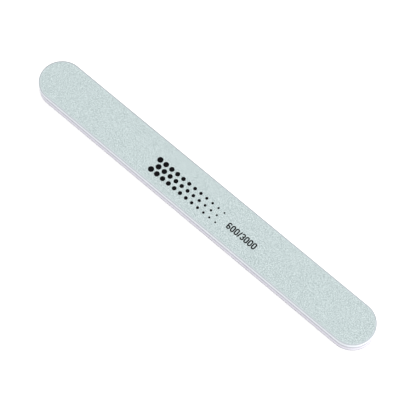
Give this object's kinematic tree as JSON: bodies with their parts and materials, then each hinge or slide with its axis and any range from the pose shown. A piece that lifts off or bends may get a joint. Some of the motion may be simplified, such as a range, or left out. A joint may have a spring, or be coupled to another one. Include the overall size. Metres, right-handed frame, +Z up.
{
  "type": "sanding stick",
  "caption": "Flat double-sided sanding stick with round ends: foam pads on a stiff board, faced with pale green coarse and white fine abrasive.",
  "frame": {"origin": "centre of the underside, which is the fine abrasive face", "axes": "+X along the stick and the way the printed numbers read, +Y across it towards their top, +Z up out of the coarse face"},
  "size_m": [0.178, 0.019, 0.006],
  "materials": {
    "coarse_abrasive": "matt pale green P600 abrasive with an anti-clog coat",
    "black_ink": "matt black printing ink",
    "backing_paper": "latex-treated white paper, seen at its cut edge",
    "clear_adhesive": "translucent acrylic tape, seen at its cut edge",
    "white_foam": "white closed-cell foam with a faint lavender tint",
    "white_board": "white polystyrene board, satin at its cut edge",
    "backing_film": "white polyester film, seen at its cut edge",
    "fine_abrasive": "satin white P3000 polishing coat"
  },
  "bodies": {
    "root": {"coarse_grit_coat": "coarse_abrasive", "printed_marks": "black_ink", "coarse_backing_paper": "backing_paper", "coarse_face_adhesive": "clear_adhesive", "upper_foam_pad": "white_foam", "upper_board_adhesive": "clear_adhesive", "core_board": "white_board", "lower_board_adhesive": "clear_adhesive", "lower_foam_pad": "white_foam", "fine_face_adhesive": "clear_adhesive", "fine_backing_film": "backing_film", "fine_grit_coat": "fine_abrasive"}
  },
  "joints": []
}
